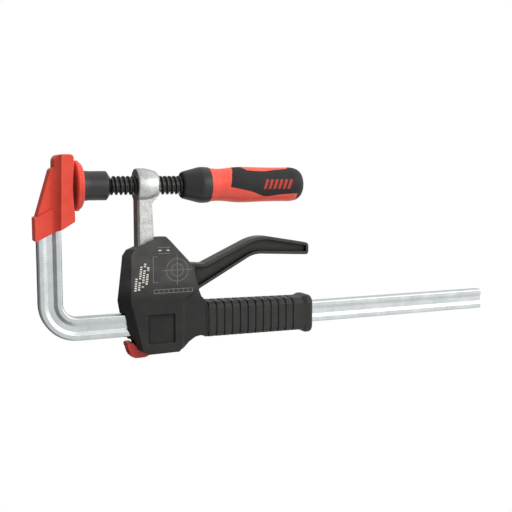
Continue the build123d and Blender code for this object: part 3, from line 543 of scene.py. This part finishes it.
BAR_PITCH, BAR_WIDE, BAR_LEAN = 4.6, 2.5, 0.35
BARS_LEFT, BARS_RIGHT = 36 * BAR_PITCH, 42 * BAR_PITCH
BARS_LOW, BARS_HIGH = -3.6, 4.6
EDGE = 0.15  # soft edge of the print
NEAR_SIDE = (-1, 0)  # the print fades out between these Y, so the far side stays bare
rubber = matt_black("soft black rubber", "#201F1F", "#262525", 0.6, grain=0.6, relief=0.05)
tree = rubber.tree
x, y, z = add(tree, "ShaderNodeSeparateXYZ", {0: rubber.at}).outputs
leaning = add(tree, "ShaderNodeMath", {0: z, 2: x}, operation="MULTIPLY_ADD")
leaning.inputs[1].default_value = -BAR_LEAN
leaning = leaning.outputs[0]
step = add(tree, "ShaderNodeMath", {0: leaning}, operation="MODULO")
step.inputs[1].default_value = BAR_PITCH
printed = graded(
    tree, (step.outputs[0], (BAR_WIDE, BAR_WIDE + EDGE), (1, 0)),
    (leaning, (BARS_LEFT - EDGE, BARS_LEFT), (0, 1)), (leaning, (BARS_RIGHT, BARS_RIGHT + EDGE), (1, 0)),
    (z, (BARS_LOW - EDGE, BARS_LOW), (0, 1)), (z, (BARS_HIGH, BARS_HIGH + EDGE), (1, 0)),
    (y, NEAR_SIDE, (1, 0)),
)
black = rubber.shader.inputs["Base Color"].links[0].from_socket
inked = add(tree, "ShaderNodeMixRGB", {"Fac": printed, "Color1": black}, Color2=linear("#B93F33"))
given(rubber, Base_Color=inked.outputs[0])
softened("handle_panels", rubber)

# Housing: two shells of black glass filled nylon screwed together round the arm and the drive. Each
# has a raised panel with a recessed field, and the mould's eroded grain makes them matt charcoal.
# The upper half is painted paler, a painted sheen, and painted shade darkens the field, most of all along
# its left and top edges, and the inner corners.
FIELD_LEFT, FIELD_RIGHT, FIELD_LOW, FIELD_HIGH = 58.3, 82.2, -133.4, -108.2
FIELD_SLOPE = 1.0
FIELD_SHADE, EDGE_SHADOW = 0.8, 0.05  # painted shade: how dark the field is, and how dark its left and top edges are, where its walls would shadow it
# How far the painted shadow of the field's left and top walls reaches.
SHADOW_REACH = 5.0
# Painted sheen: how much paler the upper half is painted, and the heights over which it comes in.
UPPER_SHEEN, SHEEN_HEIGHTS = 3.4, (-97, -78)


def rescaled(skin, share):
    """Scales a skin's colour by a share."""
    colour = skin.shader.inputs["Base Color"].links[0].from_socket
    scaled = add(skin.tree, "ShaderNodeVectorMath", {0: colour, "Scale": share}, operation="SCALE")
    given(skin, Base_Color=scaled.outputs[0])


shell_black = matt_black("black glass filled nylon", "#201F1E", "#272624", 0.55, grain=0.55, relief=0.04)
tree = shell_black.tree
x, _, z = add(tree, "ShaderNodeSeparateXYZ", {0: shell_black.at}).outputs
inside = graded(
    tree, (x, (FIELD_LEFT, FIELD_LEFT + FIELD_SLOPE), (0, 1)),
    (x, (FIELD_RIGHT - FIELD_SLOPE, FIELD_RIGHT), (1, 0)),
    (z, (FIELD_LOW, FIELD_LOW + FIELD_SLOPE), (0, 1)), (z, (FIELD_HIGH - FIELD_SLOPE, FIELD_HIGH), (1, 0)),
)
# Painted shadow along the field's left and top edges, and painted shade over the whole field.
left_wall_shadow = (x, (FIELD_LEFT, FIELD_LEFT + SHADOW_REACH), (EDGE_SHADOW, FIELD_SHADE))
top_wall_shadow = (z, (FIELD_HIGH - SHADOW_REACH, FIELD_HIGH), (FIELD_SHADE, EDGE_SHADOW))
recess_shade = add(tree, "ShaderNodeMath", {
    0: graded(tree, left_wall_shadow, curve="SMOOTHSTEP"), 1: graded(tree, top_wall_shadow, curve="SMOOTHSTEP"),
}, operation="MINIMUM")
field = add(tree, "ShaderNodeMapRange", {"Value": inside, "To Max": recess_shade.outputs[0]}, To_Min=1.0)
rescaled(shell_black, field.outputs[0])
# Painted sheen on the upper half.
rescaled(shell_black, graded(tree, (z, SHEEN_HEIGHTS, (1, UPPER_SHEEN)), curve="SMOOTHSTEP"))
# Painted shade in inner corners.
rescaled(shell_black, corner_shade(shell_black, depth=2.5, dark=0.1))
for name in ("housing_front", "housing_rear"):
    softened(name, shell_black, width=0.6, hollows=False)

# Print on the front panel: rows of short white strokes, and thin grey line work of two rings, their
# centre lines, a bracket, a frame and a scale. It is pad printed, so the ink stands a hair above the
# nylon.
INK = 0.05  # its thickness
print_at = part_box("housing_front")[0].y / MM


def ink(name, code):
    """A dull ink, slightly worn."""
    skin = new_skin(name, (0.8, 3, 0.5), roughness=0.6)
    given(skin, Base_Color=toned(skin, skin.cloud, "#55524E", code, span=(0.28, 0.45)))
    return skin.made


def stroke(x, z, length, width, turn=0.0):
    """A printed line with its middle at x and z, turned up from the X axis by degrees."""
    middle = Vector((x, print_at, z)) * MM
    bpy.ops.mesh.primitive_cube_add(size=1, location=middle, rotation=(0, -math.radians(turn), 0))
    bpy.context.object.scale = (length * MM, 2 * INK * MM, width * MM)
    return bpy.context.object


def ring(x, z, radius, width):
    """A printed circle."""
    bpy.ops.mesh.primitive_torus_add(
        location=Vector((x, print_at, z)) * MM, rotation=(math.pi / 2, 0, 0), major_segments=64,
        minor_segments=8, major_radius=radius * MM, minor_radius=width / 2 * MM,
    )
    bpy.context.object.scale = (1, 1, 2 * INK / width)
    return bpy.context.object


def printed_piece(name, strokes, inked):
    """Joins the strokes to one piece on the front shell."""
    bpy.ops.object.select_all(action="DESELECT")
    for part in strokes:
        part.select_set(True)
    bpy.context.view_layer.objects.active = strokes[0]
    bpy.ops.object.join()
    piece = bpy.context.object
    piece.name = name
    bpy.ops.object.transform_apply(location=True, rotation=True, scale=True)
    piece.data.materials.clear()
    piece.data.materials.append(inked)
    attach(piece, frame["nodes"]["housing_front"]["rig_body"])


ROW_FOOT, ROW_STEP = Vector((47.6, 0, -89.5)), Vector((3.3, 0, 2.4))
ROW_LEAN = 83.0  # degrees from the X axis
ROW_COUNTS = (8, 12, 11, 8)
STROKE_PITCH, STROKE_LONG, STROKE_WIDE = 1.9, 1.2, 1.9
DASHES_X, DASHES_Z, DASH_LONG, DASH_WIDE = (69.5, 76.5), -54.0, 2.6, 1.0
along = Vector((math.cos(math.radians(ROW_LEAN)), 0, math.sin(math.radians(ROW_LEAN))))
strokes = []
for row, count in enumerate(ROW_COUNTS):
    for k in range(count):
        if (3 * k + 2 * row) % 7:  # leaves a gap now and then
            middle = ROW_FOOT + row * ROW_STEP + (k + 0.5) * STROKE_PITCH * along
            strokes.append(stroke(middle.x, middle.z, STROKE_LONG, STROKE_WIDE, ROW_LEAN))
strokes += [stroke(x, DASHES_Z, DASH_LONG, DASH_WIDE) for x in DASHES_X]
printed_piece("panel_strokes", strokes, ink("white ink", "#E6DED2"))

LINE = 0.5
RING_X, RING_Z, RING_RADII, CENTRE_LINES = 84.5, -71.0, (5.2, 9.6), 26
SCALE_LEFT, SCALE_LONG, SCALE_LOW, SCALE_HIGH, SCALE_PARTS = 64.0, 34, -90.0, -87.0, 8
FRAME_X, FRAME_LONG, FRAME_LOW, FRAME_HIGH = 73.0, 11, -56.5, -51.5
BRACKET_X, BRACKET_Z, BRACKET_TALL, BRACKET_ARM, ARMS_OUT = 63.5, -70, 22, 4, 10.8
scale_middle, scale_tall = (SCALE_LOW + SCALE_HIGH) / 2, SCALE_HIGH - SCALE_LOW
lines = [ring(RING_X, RING_Z, radius, LINE) for radius in RING_RADII]
lines += [stroke(RING_X, RING_Z, CENTRE_LINES, LINE, turn) for turn in (0, 90)]
lines += [stroke(SCALE_LEFT + SCALE_LONG / 2, z, SCALE_LONG, LINE) for z in (SCALE_HIGH, SCALE_LOW)]
for k in range(SCALE_PARTS + 1):
    lines += [stroke(SCALE_LEFT + SCALE_LONG * k / SCALE_PARTS, scale_middle, LINE, scale_tall)]
lines += [stroke(FRAME_X, z, FRAME_LONG, LINE) for z in (FRAME_LOW, FRAME_HIGH)]
lines += [stroke(BRACKET_X, BRACKET_Z, LINE, BRACKET_TALL)]
for out in (ARMS_OUT, -ARMS_OUT):
    lines += [stroke(BRACKET_X + BRACKET_ARM / 2, BRACKET_Z + out, BRACKET_ARM, LINE)]
printed_piece("panel_line_work", lines, ink("grey ink", "#7A7975"))

# Housing screws: five plain steel screws from the rear, turned and left bright. Their heads sit in
# bores of the rear shell, and pull the two shells together.
steel = new_skin("plain steel", (2, 4, 0.5), metallic=1.0)
given(steel, Base_Color=toned(steel, steel.cloud, "#85868A", "#A2A3A5"),
      Roughness=graded(steel.tree, (steel.cloud, WIDE_SPAN, (0.28, 0.45))))
softened("housing_screws", steel, width=0.12, segments=2)

# Grip: a glass filled nylon sleeve over the shells' neck, ribbed across for the palm, with a wide
# flange that keeps the hand off the rail.
grip_black = matt_black("black ribbed nylon", "#292827", "#302F2D", 0.5, grain=0.6, relief=0.04)
softened("grip", grip_black, width=0.3)

# Trigger lever: moulded in the same nylon as an I section, thin in its web and thick round its rim, on a
# steel pin at its root. Its web is darkened with painted shade between the rims.
lever_black = matt_black("brown black nylon", "#35332F", "#3D3B36", 0.4, grain=0.55, relief=0.03)
# Painted shade darkens the web between the rims.
rescaled(lever_black, corner_shade(lever_black, depth=14, dark=0, span=(0.75, 1.0)))
softened("trigger_lever", lever_black, width=0.7)

# Release bar: a darker red nylon slide under the rail, moulded with a toothed thumb face. It has the
# same fine grain as the caps.
# Its inner corners get the deepest of its three reds painted in as shade.
dark_red = red_nylon("dark red nylon", "#8C1008", "#B6261B", "#C22C20", roughness=0.4)
softened("release_bar", dark_red, width=0.4)

# Inner pieces: stamped plates, pins, springs, the jaw's head plate and the ball joint. They are plain
# steel, and show only where the housing is open. The drive spring shortens as the lever feeds the
# drive plates along the rail.
for name in frame["nodes"]:
    if slots[name] in ("bare_steel", "spring_steel") and name not in ("housing_screws", "drive_spring"):
        node = frame["nodes"][name]
        node.data.materials.clear()
        node.data.materials.append(steel.made)
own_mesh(softened("drive_spring", steel))

bpy.context.scene.view_settings.view_transform = "Standard"
